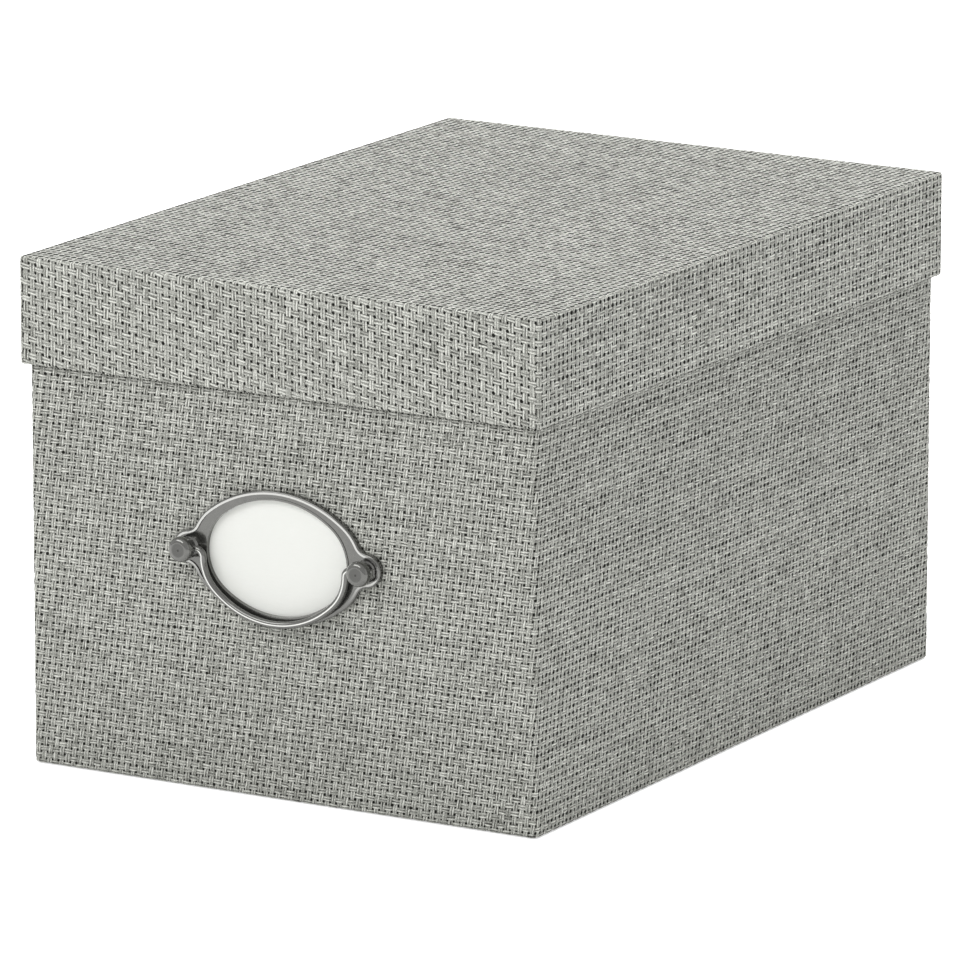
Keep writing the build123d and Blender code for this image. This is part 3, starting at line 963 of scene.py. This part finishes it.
for node, body, material in (
        ("label_frame", "tray", frame_material), ("left_post", "tray", post_material),
        ("right_post", "tray", post_material), ("bail_handle", "bail", bail_material)):
    smoothed_copy(node, body, material)
smoothed_copy("rivet_washers", "tray", washer_material)


# Boards, tapes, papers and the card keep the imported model's meshes

papers = {
    "base_board": board_material,
    "front_board": board_material,
    "rear_board": board_material,
    "left_board": board_material,
    "right_board": board_material,
    "corner_tapes": tape_material,
    "body_lining": lining_material,
    "floor_lining": lining_material,
    "base_paper": lining_material,
    "lid_top_board": board_material,
    "lid_front_board": board_material,
    "lid_rear_board": board_material,
    "lid_left_board": board_material,
    "lid_right_board": board_material,
    "lid_corner_tapes": tape_material,
    "lid_lining": lining_material,
    "label_card": card_material,
}
for node, material in papers.items():
    for material_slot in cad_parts[node].material_slots:
        material_slot.material = material

helpers = (
    plain_strand, supple_strand, tray_path, lid_path, tray_inner_path, lid_inner_path,
    tray_profile, tray_inner_profile, skirt_profile, skirt_inner_profile, top_path, top_profile)
for helper in helpers:
    bpy.data.objects.remove(helper)


# Floor, light and camera

WHITE = (1.0, 1.0, 1.0, 1.0)
FLOOR_TONE = (0.92, 0.92, 0.92, 1.0)
FLOOR_GLOW = 0.55
WORLD_STRENGTH = 0.53


def sees_backdrop(tree):
    """1 for rays that show the white background: the camera's, and those off or through things."""
    rays = add_node(tree, "ShaderNodeLightPath")
    seen = output(tree, rays, "Is Camera Ray")
    for kind in ("Is Glossy Ray", "Is Transmission Ray"):
        seen = seen.math("MAXIMUM", output(tree, rays, kind))
    return seen


def make_floor():
    """Pale floor that the camera sees as white, with the object's soft shadow left on it."""
    reach = 20.0
    floor = mesh_object(
        "floor", [(-reach, -reach, 0), (reach, -reach, 0), (reach, reach, 0), (-reach, reach, 0)],
        [(0, 1, 2, 3)])
    material = bpy.data.materials.new("pale_floor")
    material.use_nodes = True
    tree = material.node_tree
    tree.nodes.clear()
    matt = add_node(tree, "ShaderNodeBsdfDiffuse", {"Color": FLOOR_TONE})
    glow = add_node(tree, "ShaderNodeEmission", {"Color": WHITE, "Strength": FLOOR_GLOW})
    both = add_node(tree, "ShaderNodeAddShader", {0: matt.outputs[0], 1: glow.outputs[0]})
    chosen = add_node(
        tree, "ShaderNodeMixShader", {0: sees_backdrop(tree), 1: matt.outputs[0], 2: both.outputs[0]})
    surface = tree.nodes.new("ShaderNodeOutputMaterial")
    tree.links.new(chosen.outputs[0], surface.inputs["Surface"])
    floor.data.materials.append(material)


def light_world(strength):
    """Even light from all round, seen by the camera as a white backdrop."""
    world = bpy.data.worlds.new("studio")
    bpy.context.scene.world = world
    world.use_nodes = True
    tree = world.node_tree
    tree.nodes.clear()
    around = add_node(tree, "ShaderNodeBackground", {"Color": WHITE, "Strength": strength})
    backdrop = add_node(tree, "ShaderNodeBackground", {"Color": WHITE, "Strength": 1.0})
    chosen = add_node(
        tree, "ShaderNodeMixShader",
        {0: sees_backdrop(tree), 1: around.outputs[0], 2: backdrop.outputs[0]})
    surface = tree.nodes.new("ShaderNodeOutputWorld")
    tree.links.new(chosen.outputs[0], surface.inputs["Surface"])


def soft_lamp(name, place, width, height, power):
    """Flat lamp that faces the middle of the box."""
    lamp = bpy.data.lights.new(name, "AREA")
    lamp.shape = "RECTANGLE"
    lamp.size = width
    lamp.size_y = height
    lamp.energy = power
    holder = link(bpy.data.objects.new(name, lamp))
    holder.location = place
    aim = CAMERA_AIM - Vector(place)
    holder.rotation_euler = aim.to_track_quat("-Z", "Y").to_euler()


def make_camera():
    """Camera of the photograph, with the scene seen through it."""
    data = bpy.data.cameras.new("camera")
    data.lens = CAMERA_LENS
    data.sensor_width = 36.0
    data.clip_start = 0.1
    data.clip_end = 100.0
    camera = link(bpy.data.objects.new("camera", data))
    back = Vector((
        math.sin(CAMERA_AZIMUTH) * math.cos(CAMERA_ELEVATION),
        -math.cos(CAMERA_AZIMUTH) * math.cos(CAMERA_ELEVATION),
        math.sin(CAMERA_ELEVATION)))
    turn = (
        Matrix.Rotation(CAMERA_YAW, 4, "Z")
        @ Matrix.Rotation(math.pi / 2 - CAMERA_PITCH, 4, "X")
        @ Matrix.Rotation(CAMERA_ROLL, 4, "Z"))
    camera.matrix_world = Matrix.Translation(CAMERA_AIM + back * CAMERA_DISTANCE) @ turn
    bpy.context.scene.camera = camera


make_floor()
light_world(WORLD_STRENGTH)
soft_lamp("key_lamp", (-0.9, -1.8, 1.9), width=2.2, height=0.9, power=28.5)
soft_lamp("fill_lamp", (2.2, -0.6, 1.0), width=1.6, height=1.6, power=2.0)
soft_lamp("top_lamp", (0.1, 0.9, 2.6), width=1.6, height=1.6, power=53.0)
make_camera()
bpy.context.scene.view_settings.view_transform = "Standard"
